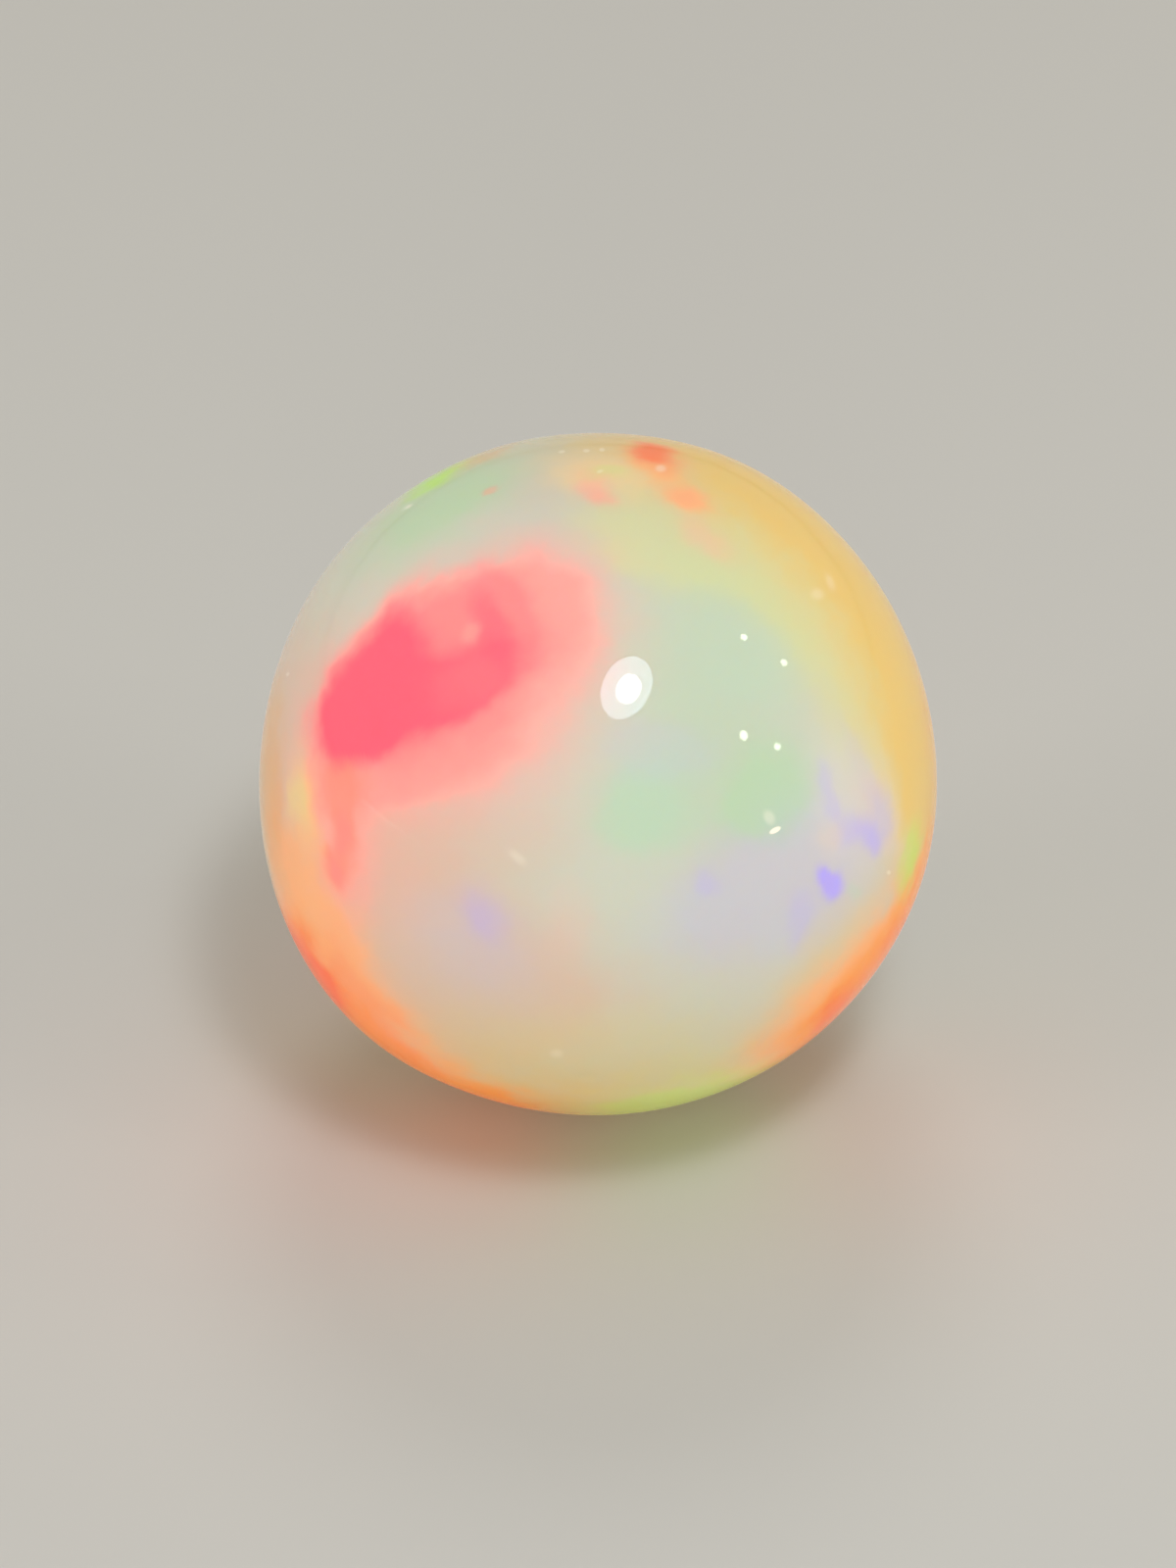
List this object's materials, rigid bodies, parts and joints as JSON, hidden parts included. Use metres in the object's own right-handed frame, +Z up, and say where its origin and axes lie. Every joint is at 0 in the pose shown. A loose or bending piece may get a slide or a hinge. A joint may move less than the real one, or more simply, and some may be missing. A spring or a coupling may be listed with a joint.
{
  "type": "ethiopian opal sphere",
  "caption": "Small hand-cut polished ball of milky precious opal with pink, orange, green and violet play-of-colour, resting on a surface.",
  "frame": {"origin": "on the surface that the ball rests on, in the middle of its foot", "axes": "+Z up through the ball's centre; the ball's best face looks towards -Y and 35 degrees up; +X is to that face's right"},
  "size_m": [0.0119, 0.012, 0.012],
  "materials": {
    "opal": "polished"
  },
  "bodies": {
    "root": {"opal_sphere": "opal"}
  },
  "joints": []
}
